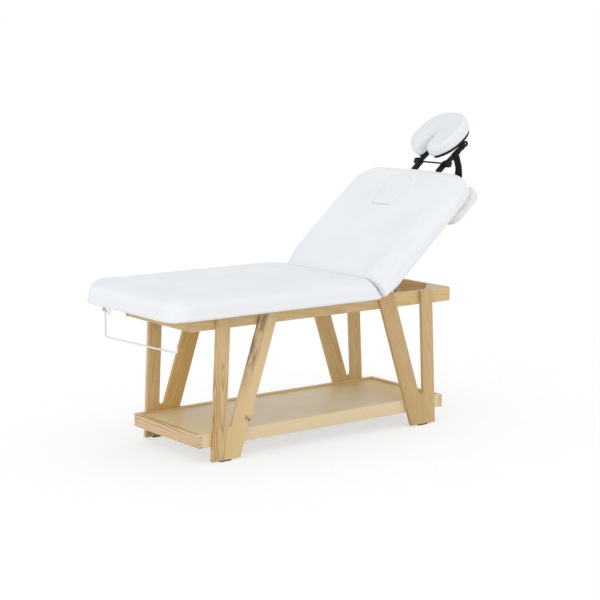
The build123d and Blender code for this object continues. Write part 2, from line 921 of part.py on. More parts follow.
def roll_bracket():
    """A plate under the foot board, with an eye for the wire and a fixed hook beside it."""
    x_low = holder_x - bracket_width / 2
    x_high = holder_x + bracket_width / 2
    y_high = holder_offset + eye_margin + bracket_plate
    plate_low = frame_top - bracket_plate
    eye_low = frame_top - eye_drop - eye_thick
    bracket = block(x_low, x_high, hook_offset - eye_margin, y_high, plate_low, frame_top)
    bracket += block(x_low, x_high, y_high - bracket_plate, y_high, eye_low, frame_top)
    bracket += block(x_low, x_high, holder_offset - eye_margin, y_high, eye_low, eye_low + eye_thick)
    bore = Pos(holder_x, holder_offset, eye_low - overrun) * extrude(Circle(wire_radius + running_gap),
                                                                       eye_thick + 2 * overrun)
    bracket -= bore
    hook_low = frame_top - hook_drop - hook_span / 2
    path = FilletPolyline(
        (holder_x, hook_offset, plate_low),
        (holder_x, hook_offset, hook_low),
        (holder_x, hook_offset + hook_span, hook_low),
        (holder_x, hook_offset + hook_span, plate_low - hook_span / 2),
        radius=hook_span / 2 - joint_gap,
    )
    start = Plane(origin=(holder_x, hook_offset, plate_low), z_dir=(0, 0, -1))
    return bracket + sweep(start * Circle(hook_wire_radius), path=path)


def roll_screws():
    low = frame_top - bracket_plate - screw_height
    shapes = []
    for y in (hook_offset + hook_span / 2, hook_offset + 3 * hook_span / 2):
        head = Pos(holder_x, y, low) * extrude(Circle(screw_radius), screw_height)
        shapes.append(fillet(head.faces().sort_by(Axis.Z)[0].edges(), screw_height / 2))
    return joined(shapes)


def roll_wire():
    """A bent wire that hangs in the bracket's eye and turns up at its free end."""
    eye_top = frame_top - eye_drop
    low = eye_top - wire_drop + wire_head_thick
    end_x = holder_x + wire_run * sin(radians(wire_swing))
    end_y = holder_offset - wire_run * cos(radians(wire_swing))
    top = (holder_x, holder_offset, eye_top + soft_gap + wire_head_thick)
    path = FilletPolyline(
        top,
        (holder_x, holder_offset, low),
        (end_x, end_y, low),
        (end_x, end_y, low + wire_upturn),
        radius=wire_bend,
    )
    wire = sweep(Plane(origin=top, z_dir=(0, 0, -1)) * Circle(wire_radius), path=path)
    head = extrude(Circle(wire_head_radius), wire_head_thick)
    return wire + Pos(holder_x, holder_offset, eye_top + soft_gap) * head


leg = whole_leg()
leg_post = leg & post_region()
leg_strut = leg - post_region()
shelf_near, shelf_far, shelf_foot, shelf_head = shelf_rails()

pieces = {
    "long_rail_near": long_rail(near_side),
    "long_rail_far": long_rail(far_side),
    "foot_rail": end_rail(foot_side),
    "head_rail": end_rail(head_side),
    "centre_cross_rail": cross_rail(),
    "corner_gussets": corner_gussets(),
    "foot_glides": foot_glides(),
    "shelf_rail_near": shelf_near,
    "shelf_rail_far": shelf_far,
    "shelf_rail_foot": shelf_foot,
    "shelf_rail_head": shelf_head,
    "shelf_panel": shelf_panel(),
    "shelf_cleats": shelf_cleats(),
    "foot_board": foot_board_shape(0),
    "foot_pad": foot_pad(),
    "hinge_leaves_foot": hinge_leaves(foot_side),
    "hinge_pins": hinge_pins(),
    "prop_rack_near": prop_rack(near_side),
    "prop_rack_far": prop_rack(far_side),
    "roll_bracket": roll_bracket(),
    "roll_screws": roll_screws(),
    "roll_wire": roll_wire(),
    "backrest_board": raised(backrest_board()),
    "backrest_pad": raised(backrest_pad()),
    "hinge_leaves_back": raised(hinge_leaves(head_side)),
    "cradle_sockets": raised(cradle_sockets()),
    "prop_brackets": raised(prop_brackets()),
    "prop_pins": raised(prop_pins()),
    "prop_bail": prop_bail(),
    "face_plug": raised(face_plug()),
    "face_plug_board": raised(face_plug_board()),
    "cradle_posts": raised(cradle_posts()),
    "cradle_cross_rod": raised(cross_rod()),
    "cradle_arm_near": raised(cradle_arm(near_side)),
    "cradle_arm_far": raised(cradle_arm(far_side)),
    "knob_near": raised(clamp_knob(near_side)),
    "knob_far": raised(clamp_knob(far_side)),
    "platform_plate": raised(platform_plate()),
    "platform_lugs": raised(platform_lugs()),
    "platform_rivets": raised(platform_rivets()),
    "face_cushion": raised(face_cushion()),
    "armrest_board": raised(armrest_board_shape(0)),
    "armrest_pad": raised(armrest_pad()),
    "armrest_webbing": raised(armrest_webbing()),
    "armrest_strap": armrest_strap(),
}
for end, end_name in ((foot_side, "foot"), (head_side, "head")):
    for side, side_name in ((near_side, "near"), (far_side, "far")):
        pieces["leg_post_" + end_name + "_" + side_name] = placed_leg(leg_post, end, side)
        pieces["leg_strut_" + end_name + "_" + side_name] = placed_leg(leg_strut, end, side)

# The origin goes to the floor below the middle of the table's overall length.
boxes = [shape.bounding_box() for shape in pieces.values()]
middle_x = (min(box.min.X for box in boxes) + max(box.max.X for box in boxes)) / 2

for name, shape in pieces.items():
    solids = [Pos(-middle_x, 0, 0) * solid for solid in shape.solids()]
    export_step(joined(solids) if len(solids) > 1 else solids[0], "parts/" + name + ".step")
print("middle", middle_x, "pieces", len(pieces))
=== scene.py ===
import math

import bmesh
import bpy
import numpy as np
from mathutils import Matrix, Vector, noise


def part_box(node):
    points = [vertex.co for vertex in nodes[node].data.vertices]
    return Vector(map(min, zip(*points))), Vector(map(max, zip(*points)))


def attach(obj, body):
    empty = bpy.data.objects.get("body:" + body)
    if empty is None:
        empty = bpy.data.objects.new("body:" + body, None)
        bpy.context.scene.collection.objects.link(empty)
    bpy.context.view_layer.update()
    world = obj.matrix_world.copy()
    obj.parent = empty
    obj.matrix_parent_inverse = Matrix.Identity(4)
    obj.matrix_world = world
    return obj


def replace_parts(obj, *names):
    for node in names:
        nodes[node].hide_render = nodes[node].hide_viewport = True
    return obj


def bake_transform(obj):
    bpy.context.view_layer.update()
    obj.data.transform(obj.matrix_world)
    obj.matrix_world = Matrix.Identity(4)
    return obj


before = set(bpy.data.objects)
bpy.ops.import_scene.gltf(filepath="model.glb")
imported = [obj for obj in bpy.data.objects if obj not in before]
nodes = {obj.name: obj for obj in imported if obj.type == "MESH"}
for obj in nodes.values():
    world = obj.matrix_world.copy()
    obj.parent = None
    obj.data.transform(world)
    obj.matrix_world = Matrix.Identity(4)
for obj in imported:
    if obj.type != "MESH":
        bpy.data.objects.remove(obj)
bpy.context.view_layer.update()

# Places are given in millimetres from the middle of the frame, as in the CAD source.
rail_low, rail_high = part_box("long_rail_near")
middle_x = (rail_low.x + rail_high.x) / 2
pin_low, pin_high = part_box("hinge_pins")
hinge = (pin_low + pin_high) / 2
hinge_x = (hinge.x - middle_x) * 1000
hinge_z = hinge.z * 1000
rest_angle = math.radians(41.4)

# Sizes of the CAD pads and boards, with the backrest flat
pad_half = 380
square = 0.1
foot_end = -881.5
foot_corner = 103
foot_low = 630
foot_high = 727
foot_lean = 34
foot_gap = 7.2
back_end = hinge_x + 722.4
back_corner = 120
back_low = 632.2
back_high = 728.2
back_lean = 12
back_gap = 4
arm_pivot_x = 951.4 + 87.6
arm_pivot_z = 653.0
arm_slope = math.radians(4.9)
arm_y = -95
cushion_slope = math.radians(5.4)
cushion_x = back_end + 87.6 + 115.3
cushion_z = 690.3
armrest_start = back_end - 186.4
armrest_end = back_end + 18.6
armrest_half = 310
armrest_low = 527.2
plug_start = back_end - 266.4
plug_length = 188
sling_x = 763.45
sling_y = 200
sling_half_width = 0.02
strap_half_width = 0.022
webbing_half_thick = 0.00115


def place(x, y, z):
    """A point given in millimetres from the middle of the frame, in the frame's metres."""
    return Vector((middle_x + x / 1000, y / 1000, z / 1000))


def raised(x, z):
    """Where a point drawn with the backrest flat lies once the backrest is raised, in millimetres."""
    away_x = x - hinge_x
    away_z = z - hinge_z
    c = math.cos(rest_angle)
    s = math.sin(rest_angle)
    return hinge_x + away_x * c - away_z * s, hinge_z + away_x * s + away_z * c


flat_to_raised = Matrix.Translation(hinge) @ Matrix.Rotation(-rest_angle, 4, "Y") @ Matrix.Translation(-hinge)


# Node helpers for the materials

class Tree:
    """A material's nodes, made one call at a time."""

    def __init__(self, name):
        self.material = bpy.data.materials.new(name)
        self.material.use_nodes = True
        self.tree = self.material.node_tree
        self.tree.nodes.clear()

    def make(self, kind, inputs=None, out=0, **settings):
        """A new node with its inputs linked or set, and one of its outputs."""
        node = self.tree.nodes.new(kind)
        for key, value in settings.items():
            setattr(node, key, value)
        for key, value in (inputs or {}).items():
            if isinstance(value, bpy.types.NodeSocket):
                self.tree.links.new(value, node.inputs[key])
            else:
                node.inputs[key].default_value = value
        return node.outputs[out] if node.outputs else None

    def math(self, operation, a, b=0.0, c=0.0):
        return self.make("ShaderNodeMath", {0: a, 1: b, 2: c}, operation=operation)

    def vector(self, operation, a, b=(0, 0, 0), c=(0, 0, 0)):
        out = 1 if operation in ("LENGTH", "DOT_PRODUCT", "DISTANCE") else 0
        inputs = {0: a}
        if operation != "LENGTH":
            inputs[1] = b
        if operation == "MULTIPLY_ADD":
            inputs[2] = c
        return self.make("ShaderNodeVectorMath", inputs, out=out, operation=operation)

    def noise(self, vector, scale, detail=2.0, roughness=0.5, distortion=0.0):
        return self.make("ShaderNodeTexNoise", {"Vector": vector, "Scale": scale, "Detail": detail,
                                                "Roughness": roughness, "Distortion": distortion})

    def span(self, value, low, high, to_low=0.0, to_high=1.0):
        """Maps a value smoothly from one range to another, held at its ends."""
        return self.make("ShaderNodeMapRange", {0: value, 1: low, 2: high, 3: to_low, 4: to_high},
                         interpolation_type="SMOOTHSTEP")

    def mix(self, share, a, b):
        """The first colour with a share of the second laid over it."""
        node = self.tree.nodes.new("ShaderNodeMix")
        node.data_type = "RGBA"
        for index, value in ((0, share), (6, a), (7, b)):
            if isinstance(value, bpy.types.NodeSocket):
                self.tree.links.new(value, node.inputs[index])
            elif index == 0:
                node.inputs[index].default_value = value
            else:
                node.inputs[index].default_value = (*value, 1)
        return node.outputs[2]

    def bump(self, height, strength, distance, normal=None):
        inputs = {"Height": height, "Strength": strength, "Distance": distance}
        if normal is not None:
            inputs["Normal"] = normal
        return self.make("ShaderNodeBump", inputs)

    def finish(self, **inputs):
        """Ends the tree in one principled shader and gives the material."""
        named = {key.replace("_", " "): value for key, value in inputs.items()}
        shader = self.make("ShaderNodeBsdfPrincipled", named)
        self.make("ShaderNodeOutputMaterial", {"Surface": shader})
        return self.material


def object_point(t):
    return t.make("ShaderNodeTexCoord", out=3)


# Wood

def local_turn(along, face):
    """Turns that bring the grain's direction to X and the face's normal to Z."""
    x = Vector(along).normalized()
    z = Vector(face)
    z = (z - x * z.dot(x)).normalized()
    y = z.cross(x)
    return Matrix((x, y, z)).transposed().to_euler()


pore_brown = (0.30, 0.17, 0.07)
streak_brown = (0.24, 0.13, 0.055)
knot_halo = (0.42, 0.22, 0.09)
darker_board = (0.44, 0.26, 0.09)
paler_board = (0.88, 0.74, 0.49)
end_grain_early = (0.62, 0.41, 0.23)
end_grain_late = (0.43, 0.25, 0.12)


def wood(name, along, face, centre, pith, ring=7.0, light=(0.80, 0.60, 0.30), dark=(0.50, 0.29, 0.105),
         strength=0.5, taper=0.035, wobble=9.0, curl=1.5, tone=0.0, fade=None, streak=None,
         knots=(), knot_core=(0.13, 0.06, 0.03)):
    """Lacquered board cut from a log: rings round a pith, given in millimetres across and behind the face.

    The grain may fade between two places along the board, a dark streak may run along one edge as far as a
    given place, and knots stand at places along and across it.
    """
    t = Tree(name)
    q = t.make("ShaderNodeMapping", {"Vector": object_point(t), "Location": centre,
                                     "Rotation": local_turn(along, face)}, vector_type="TEXTURE")
    parts = t.make("ShaderNodeSeparateXYZ", {0: q})
    x = parts
    y = parts.node.outputs[1]
    bend = t.noise(t.vector("MULTIPLY", q, (2.2, 9.0, 9.0)), 1.0, 2.5, 0.55)
    warp = t.noise(t.vector("MULTIPLY", q, (9.0, 34.0, 34.0)), 1.0, 1.5)
    across = t.vector("MULTIPLY_ADD", q, (0, 1, 1), (0, pith[0] / 1000, pith[1] / 1000))
    radius = t.vector("LENGTH", across)
    radius = t.math("MULTIPLY_ADD", x, taper, radius)
    radius = t.math("MULTIPLY_ADD", bend, wobble / 1000, radius)
    radius = t.math("MULTIPLY_ADD", warp, curl / 1000, radius)
    for knot_x, knot_y, knot_size in knots:
        away = t.vector("SUBTRACT", q, (knot_x / 1000, knot_y / 1000, 0))
        away = t.vector("LENGTH", t.vector("MULTIPLY", away, (0.55, 1.0, 0.0)))
        push = t.math("MULTIPLY", t.span(away, 0.0, knot_size * 3 / 1000, 1.0, 0.0), knot_size * 0.8 / 1000)
        radius = t.math("ADD", radius, push)
    turn = t.math("FRACT", t.math("DIVIDE", radius, ring / 1000))
    rise = t.span(turn, 0.25, 0.93)
    late = t.math("MULTIPLY", rise, t.span(turn, 0.93, 1.0, 1.0, 0.0))
    patch = t.noise(t.vector("MULTIPLY", q, (1.6, 8.0, 8.0)), 1.0, 3.0, 0.6)
    fibre = t.noise(t.vector("MULTIPLY", q, (14.0, 520.0, 520.0)), 1.0, 3.0, 0.65)
    pores = t.noise(t.vector("MULTIPLY", q, (42.0, 1500.0, 1500.0)), 1.0, 1.0)
    pores = t.math("MULTIPLY", t.span(pores, 0.62, 0.72), t.span(turn, 0.1, 0.6, 1.0, 0.25))
    grain = t.math("MULTIPLY", late, t.span(patch, 0.3, 0.7, strength * 0.45, strength))
    if fade:
        grain = t.math("MULTIPLY", grain, t.span(x, fade[0] / 1000, fade[1] / 1000, fade[2], 1.0))
    colour = t.mix(grain, light, dark)
    warm = tuple(c * m for c, m in zip(light, (0.93, 0.83, 0.68)))
    colour = t.mix(t.span(patch, 0.35, 0.75, 0.0, 0.55), colour, t.mix(grain, warm, dark))
    colour = t.mix(t.span(fibre, 0.32, 0.68, 0.22, 0.0), colour, dark)
    colour = t.mix(t.math("MULTIPLY", pores, 0.4), colour, pore_brown)
    if streak:
        low, high, depth, whole_to, gone_at = streak
        lane = t.math("MULTIPLY_ADD", t.math("SUBTRACT", bend, 0.5), 0.022, y)
        lane = t.math("MULTIPLY_ADD", t.math("SUBTRACT", warp, 0.5), 0.010, lane)
        mask = t.span(lane, low / 1000, high / 1000)
        broken = t.noise(t.vector("MULTIPLY", q, (16.0, 60.0, 60.0)), 1.0, 2.0)
        mask = t.math("MULTIPLY", mask, t.span(broken, 0.36, 0.56, 0.25, 1.0))
        mask = t.math("MULTIPLY", mask, t.span(x, whole_to / 1000, gone_at / 1000, 1.0, 0.0))
        colour = t.mix(t.math("MULTIPLY", mask, depth), colour, streak_brown)
    for knot_x, knot_y, knot_size in knots:
        away = t.vector("SUBTRACT", q, (knot_x / 1000, knot_y / 1000, 0))
        away = t.vector("LENGTH", t.vector("MULTIPLY", away, (0.75, 1.0, 0.0)))
        away = t.math("MULTIPLY_ADD", t.math("SUBTRACT", warp, 0.5), 0.004, away)
        core = t.span(away, knot_size * 0.25 / 1000, knot_size * 0.6 / 1000, 1.0, 0.0)
        halo = t.span(away, knot_size * 0.5 / 1000, knot_size * 1.6 / 1000, 0.45, 0.0)
        colour = t.mix(halo, colour, knot_halo)
        colour = t.mix(core, colour, knot_core)
    if tone:
        colour = t.mix(abs(tone), colour, darker_board if tone > 0 else paler_board)
    facing = t.vector("DOT_PRODUCT", t.make("ShaderNodeTexCoord", out=1), tuple(Vector(along).normalized()))
    end_grain = t.span(t.math("ABSOLUTE", facing), 0.75, 0.95, 0.0, 0.55)
    colour = t.mix(end_grain, colour, t.mix(t.span(turn, 0.4, 0.9), end_grain_early, end_grain_late))
    height = t.math("MULTIPLY_ADD", fibre, 0.6, t.math("MULTIPLY", late, 0.5))
    height = t.math("MULTIPLY_ADD", pores, -0.7, height)
    return t.finish(Base_Color=colour, Roughness=t.span(fibre, 0.2, 0.8, 0.5, 0.4),
                    Coat_Weight=0.12, Coat_Roughness=0.28, Normal=t.bump(height, 0.35, 0.0004))


def centre_of(node):
    """The middle of a CAD node's box."""
    low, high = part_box(node)
    return (low + high) / 2


def only_material(mesh, material):
    mesh.materials.clear()
    mesh.materials.append(material)


def dress(node, material):
    only_material(nodes[node].data, material)


across_table = (0, 1, 0)
along_table = (1, 0, 0)
upright = (0, 0, 1)
near_face = (0, -1, 0)
post_lean = math.radians(2.8)
strut_lean = math.radians(18.3)

# Boards: grain direction, face normal, pith across and behind, and what else marks each one
boards = {
    "long_rail_near": dict(along=along_table, face=near_face, pith=(26, 70), ring=6.5, strength=0.42,
                           tone=0.06),
    "long_rail_far": dict(along=along_table, face=across_table, pith=(-18, 60), ring=7, strength=0.4,
                          tone=0.12),
    "foot_rail": dict(along=across_table, face=(-1, 0, 0), pith=(12, 52), ring=6, strength=0.5, tone=0.06),
    "head_rail": dict(along=across_table, face=(1, 0, 0), pith=(8, 60), ring=6.5, strength=0.45, tone=0.14),
    "centre_cross_rail": dict(along=across_table, face=(1, 0, 0), pith=(-20, 48), ring=7, strength=0.45),
    "corner_gussets": dict(along=along_table, face=upright, pith=(30, 60), ring=6, strength=0.3, tone=-0.1),
    "shelf_rail_near": dict(along=along_table, face=near_face, pith=(-34, 64), ring=7, strength=0.22,
                            tone=-0.62),
    "shelf_rail_far": dict(along=along_table, face=near_face, pith=(24, 58), ring=7, strength=0.34,
                           tone=-0.05),
    "shelf_rail_foot": dict(along=across_table, face=(-1, 0, 0), pith=(46, 18), ring=11, strength=1.0,
                            taper=0.012, wobble=26, curl=2,
                            light=(0.84, 0.66, 0.40), dark=(0.47, 0.24, 0.10)),
    "shelf_rail_head": dict(along=across_table, face=(1, 0, 0), pith=(-8, 36), ring=6, strength=0.55,
                            wobble=12),
    "shelf_cleats": dict(along=along_table, face=upright, pith=(20, 40), ring=6, strength=0.35),
    "prop_rack_near": dict(along=along_table, face=across_table, pith=(14, 40), ring=5.5, strength=0.4),
    "prop_rack_far": dict(along=along_table, face=near_face, pith=(-12, 44), ring=5.5, strength=0.4),
    "cradle_sockets": dict(along=(math.cos(rest_angle), 0, math.sin(rest_angle)), face=across_table,
                           pith=(10, 30), ring=5, strength=0.45),
}
for end, end_name in ((-1, "foot"), (1, "head")):
    for side, side_name in ((-1, "near"), (1, "far")):
        boards[f"leg_post_{end_name}_{side_name}"] = dict(
            along=(end * math.sin(post_lean), 0, -math.cos(post_lean)), face=(0, side, 0),
            pith=(4 * end * side, 38 + 9 * side + 6 * end), ring=6.5, strength=0.5, taper=0.03,
        )
        boards[f"leg_strut_{end_name}_{side_name}"] = dict(
            along=(end * math.sin(strut_lean), 0, -math.cos(strut_lean)), face=(0, side, 0),
            pith=(34 * end * side, 70 + 12 * side), ring=7.5, strength=0.4, taper=0.03,
        )
boards["leg_post_foot_near"].update(pith=(-3, 15), ring=11.0, strength=1.0, taper=0.05, wobble=34, curl=8,
                                    dark=(0.33, 0.15, 0.035), fade=(-120, 20, 0.25), tone=0.15,
                                    knots=((-92, 6, 7),), knot_core=(0.50, 0.27, 0.10))
boards["leg_strut_foot_near"].update(pith=(-62, 46), ring=8.5, strength=0.32, wobble=16, tone=-0.12,
                                     streak=(-5, -27, 0.95, -150, 90), knots=((147, 13, 10), (152, 29, 12)))
boards["leg_post_foot_far"].update(tone=0.1, strength=0.55)
boards["leg_strut_foot_far"].update(light=(0.80, 0.54, 0.18), dark=(0.50, 0.28, 0.08), tone=0.14,
                                    strength=0.5)
boards["leg_post_head_far"].update(tone=0.2, strength=0.5, pith=(3, 26), taper=0.06)
boards["leg_strut_head_far"].update(tone=0.2, strength=0.5)
boards["leg_post_head_near"].update(tone=0.34, strength=0.55, pith=(-2, 30), taper=0.05, wobble=15)
boards["leg_strut_head_near"].update(tone=0.5, strength=0.45, pith=(-20, 40), taper=0.05)
for node, look in boards.items():
    dress(node, wood(node + "_wood", centre=centre_of(node), **look))


# Colours of painted light and painted shade for the shelf panel's two ends
sunlit_veneer = (0.96, 0.80, 0.42)
shaded_veneer = (0.66, 0.50, 0.18)


def veneer(name, centre, light, dark, strength, painted_end_light=0.0):
    """A plywood face: fine straight veneer figure with slow colour bands, and if asked, painted light at its
    foot end and painted shade at its head end.
    """
    t = Tree(name)
    q = t.make("ShaderNodeMapping", {"Vector": object_point(t), "Location": centre,
                                     "Rotation": local_turn(along_table, upright)}, vector_type="TEXTURE")
    sway = t.noise(t.vector("MULTIPLY", q, (1.5, 5.0, 5.0)), 1.0, 3.0, 0.5)
    length = t.make("ShaderNodeSeparateXYZ", {0: q})
    drift = t.noise(t.vector("MULTIPLY", q, (0.7, 7.0, 7.0)), 1.0, 2.0)
    lane = t.math("MULTIPLY_ADD", sway, 0.16, t.math("MULTIPLY_ADD", drift, 0.35, length.node.outputs[1]))
    band = t.math("PINGPONG", t.math("MULTIPLY", lane, 34.0), 1.0)
    band = t.span(band, 0.5, 1.0)
    fibre = t.noise(t.vector("MULTIPLY", q, (8.0, 360.0, 360.0)), 1.0, 3.0, 0.6)
    pores = t.span(t.noise(t.vector("MULTIPLY", q, (30.0, 1200.0, 1200.0)), 1.0, 1.0), 0.6, 0.72)
    cloud = t.noise(t.vector("MULTIPLY", q, (2.0, 3.5, 3.5)), 1.0, 3.0, 0.6)
    colour = t.mix(t.math("MULTIPLY", band, strength), light, dark)
    colour = t.mix(t.span(fibre, 0.3, 0.7, 0.25, 0.0), colour, dark)
    colour = t.mix(t.span(cloud, 0.3, 0.7, 0.0, 0.3), colour, dark)
    # Painted light towards the foot end and painted shade towards the head end of the board
    if painted_end_light:
        colour = t.mix(t.span(length, -0.68, -0.36, painted_end_light, 0.0), colour, sunlit_veneer)
        colour = t.mix(t.span(length, 0.2, 0.6, 0.0, 0.9), colour, shaded_veneer)
    colour = t.mix(t.math("MULTIPLY", pores, 0.3), colour, tuple(0.5 * c for c in dark))
    height = t.math("SUBTRACT", fibre, pores)
    return t.finish(Base_Color=colour, Roughness=t.span(fibre, 0.2, 0.8, 0.55, 0.42),
                    Coat_Weight=0.1, Coat_Roughness=0.3, Normal=t.bump(height, 0.2, 0.0003))


# The shelf panel carries painted light at its foot end and painted shade at its head end
dress("shelf_panel", veneer("shelf_veneer", centre_of("shelf_panel"),
                            (0.87, 0.785, 0.58), (0.72, 0.60, 0.39), 0.26, 0.9))
for node in ("foot_board", "backrest_board", "face_plug_board", "armrest_board"):
    dress(node, veneer(node + "_veneer", centre_of(node), (0.60, 0.46, 0.28), (0.42, 0.29, 0.15), 0.4))


# Covers, metals and plastics

def leather(name, face, light=(0.845, 0.862, 0.88), shade=(0.81, 0.828, 0.85),
            painted_side_light=(0.905, 0.915, 0.925)):
    """White coated upholstery with a fine pebbled grain; its sides are painted paler than its top face, as
    painted light from the sides.
    """
    t = Tree(name)
    p = object_point(t)
    cells = t.make("ShaderNodeTexVoronoi", {"Vector": p, "Scale": 620.0, "Randomness": 1.0},
                   feature="SMOOTH_F1")
    pebble = t.span(cells, 0.1, 0.75)
    fine = t.noise(p, 1500.0, 2.0)
    soft = t.noise(p, 15.0, 3.0, 0.5)
    cloud = t.noise(p, 5.0, 2.0)
    colour = t.mix(t.span(cloud, 0.35, 0.65), light, shade)
    colour = t.mix(t.math("MULTIPLY", pebble, 0.12), colour, shade)
    # Painted light: faces turned away from the given face normal are painted paler, standing in for light
    # falling on the sides
    facing = t.vector("DOT_PRODUCT", t.make("ShaderNodeTexCoord", out=1), face)
    colour = t.mix(t.span(facing, 0.35, 0.85, 0.85, 0.0), colour, painted_side_light)
    normal = t.bump(soft, 0.25, 0.002)
    height = t.math("MULTIPLY_ADD", fine, 0.35, t.math("MULTIPLY", pebble, -1.0))
    return t.finish(Base_Color=colour, Roughness=t.span(soft, 0.3, 0.7, 0.4, 0.5),
                    Specular_IOR_Level=0.45, Normal=t.bump(height, 0.3, 0.0002, normal))


def paint(name, colour, worn, roughness, coat, specular=0.5):
    """Powder-coated metal with a fine orange peel and slightly duller patches."""
    t = Tree(name)
    p = object_point(t)
    peel = t.noise(p, 420.0, 2.0)
    patch = t.noise(p, 26.0, 3.0, 0.6)
    shade = t.mix(t.span(patch, 0.35, 0.7, 0.0, 0.6), colour, worn)
    return t.finish(Base_Color=shade, Roughness=t.span(patch, 0.3, 0.7, roughness, roughness + 0.14),
                    Specular_IOR_Level=specular, Coat_Weight=coat, Coat_Roughness=0.15,
                    Normal=t.bump(peel, 0.25, 0.0003))


def moulded(name, colour):
    """Matt moulded plastic with spark-eroded texture."""
    t = Tree(name)
    p = object_point(t)
    grain = t.noise(p, 900.0, 3.0, 0.7)
    patch = t.noise(p, 40.0, 2.0)
    shade = t.mix(t.span(patch, 0.3, 0.7), colour, tuple(c * 1.6 + 0.004 for c in colour))
    return t.finish(Base_Color=shade, Roughness=t.span(grain, 0.3, 0.7, 0.5, 0.66),
                    Specular_IOR_Level=0.25, Normal=t.bump(grain, 0.4, 0.0003))


def brushed(name, bright, dull):
    """Zinc-plated steel, brushed and lightly scuffed."""
    t = Tree(name)
    p = object_point(t)
    lines = t.noise(t.vector("MULTIPLY", p, (60.0, 1400.0, 1400.0)), 1.0, 3.0, 0.7)
    patch = t.noise(p, 60.0, 3.0, 0.65)
    shade = t.mix(t.span(patch, 0.35, 0.7), bright, dull)
    return t.finish(Base_Color=shade, Metallic=1.0, Roughness=t.span(lines, 0.25, 0.75, 0.26, 0.44),
                    Normal=t.bump(lines, 0.2, 0.0002))


def woven(name, along, across):
    """Black webbing: ribs across and a fine plain weave."""
    t = Tree(name)
    p = object_point(t)
    u = t.vector("DOT_PRODUCT", p, along)
    v = t.vector("DOT_PRODUCT", p, across)
    thread = 0.0016
    rib = 0.0026
    warp = t.math("SINE", t.math("MULTIPLY", v, 2 * math.pi / thread))
    weft = t.math("SINE", t.math("MULTIPLY", u, 2 * math.pi / rib))
    weave = t.math("MULTIPLY", warp, weft)
    fuzz = t.noise(p, 800.0, 2.0)
    shade = t.mix(t.span(weave, -0.6, 0.8), (0.006, 0.006, 0.0065), (0.016, 0.016, 0.0175))
    shade = t.mix(t.span(fuzz, 0.5, 0.8, 0.0, 0.3), shade, (0.03, 0.03, 0.033))
    height = t.math("MULTIPLY_ADD", fuzz, 0.4, weave)
    return t.finish(Base_Color=shade, Roughness=t.span(weave, -1.0, 1.0, 0.85, 0.65),
                    Specular_IOR_Level=0.12, Sheen_Weight=0.03, Normal=t.bump(height, 0.5, 0.0004))


# Each cover carries painted light on its sides, paler than its top face
cover = leather("white_leather", (0, 0, 1))
back_normal = (-math.sin(rest_angle), 0, math.cos(rest_angle))
raised_cover = leather("white_leather_raised", back_normal)
cushion_cover = leather("white_leather_cushion", back_normal, (0.775, 0.795, 0.805), (0.735, 0.76, 0.775),
                        (0.90, 0.91, 0.915))
black = paint("black_satin_paint", (0.006, 0.006, 0.0065), (0.012, 0.012, 0.013), 0.42, 0.0, 0.22)
white_paint = paint("white_gloss_paint", (0.87, 0.875, 0.89), (0.80, 0.805, 0.82), 0.26, 0.4)
plastic = moulded("black_moulded", (0.007, 0.007, 0.0075))
steel = brushed("plated_steel", (0.60, 0.60, 0.61), (0.46, 0.465, 0.48))
aged_steel = brushed("aged_hinge_steel", (0.27, 0.245, 0.215), (0.17, 0.15, 0.13))
for node in ("foot_glides", "knob_near", "knob_far", "platform_plate"):
    dress(node, plastic)
for node in ("roll_bracket", "roll_screws", "roll_wire"):
    dress(node, white_paint)
for node in ("prop_brackets", "prop_pins", "prop_bail"):
    dress(node, steel)
for node in ("hinge_leaves_foot", "hinge_leaves_back", "hinge_pins"):
    dress(node, aged_steel)
for node in ("cradle_posts", "cradle_cross_rod", "cradle_arm_near", "cradle_arm_far",
             "platform_lugs", "platform_rivets"):
    dress(node, black)


# Mesh helpers

def linked(name, mesh, material):
    obj = bpy.data.objects.new(name, mesh)
    bpy.context.scene.collection.objects.link(obj)
    only_material(mesh, material)
    return obj


def skin(name, rings, material, closed=False):
    """A mesh over rings of points, capped at both ends or joined into a loop."""
    count = len(rings[0])
    points = [p for ring in rings for p in ring]
    faces = []
    last = len(rings) if closed else len(rings) - 1
    for i in range(last):
        a = i * count
        b = (i + 1) % len(rings) * count
        for j in range(count):
            k = (j + 1) % count
            faces.append((a + j, a + k, b + k, b + j))
    if not closed:
        faces.append(tuple(reversed(range(count))))
        faces.append(tuple(range((len(rings) - 1) * count, len(rings) * count)))
    mesh = bpy.data.meshes.new(name)
    mesh.from_pydata(points, [], faces)
    bm = bmesh.new()
    bm.from_mesh(mesh)
    bmesh.ops.recalc_face_normals(bm, faces=bm.faces)
    bm.to_mesh(mesh)
    bm.free()
    mesh.shade_smooth()
    return linked(name, mesh, material)


def apply_modifiers(obj):
    """Replaces the mesh by what its modifiers make of it."""
    bpy.context.view_layer.update()
    graph = bpy.context.evaluated_depsgraph_get()
    mesh = bpy.data.meshes.new_from_object(obj.evaluated_get(graph))
    obj.modifiers.clear()
    obj.data = mesh


def points_of(mesh):
    co = np.zeros(len(mesh.vertices) * 3)
    mesh.vertices.foreach_get("co", co)
    return co.reshape(-1, 3)


def set_points(mesh, co):
    mesh.vertices.foreach_set("co", co.ravel())
    mesh.update()


def normals_of(mesh):
    normals = np.zeros(len(mesh.vertices) * 3)
    mesh.vertex_normals.foreach_get("vector", normals)
    return normals.reshape(-1, 3)


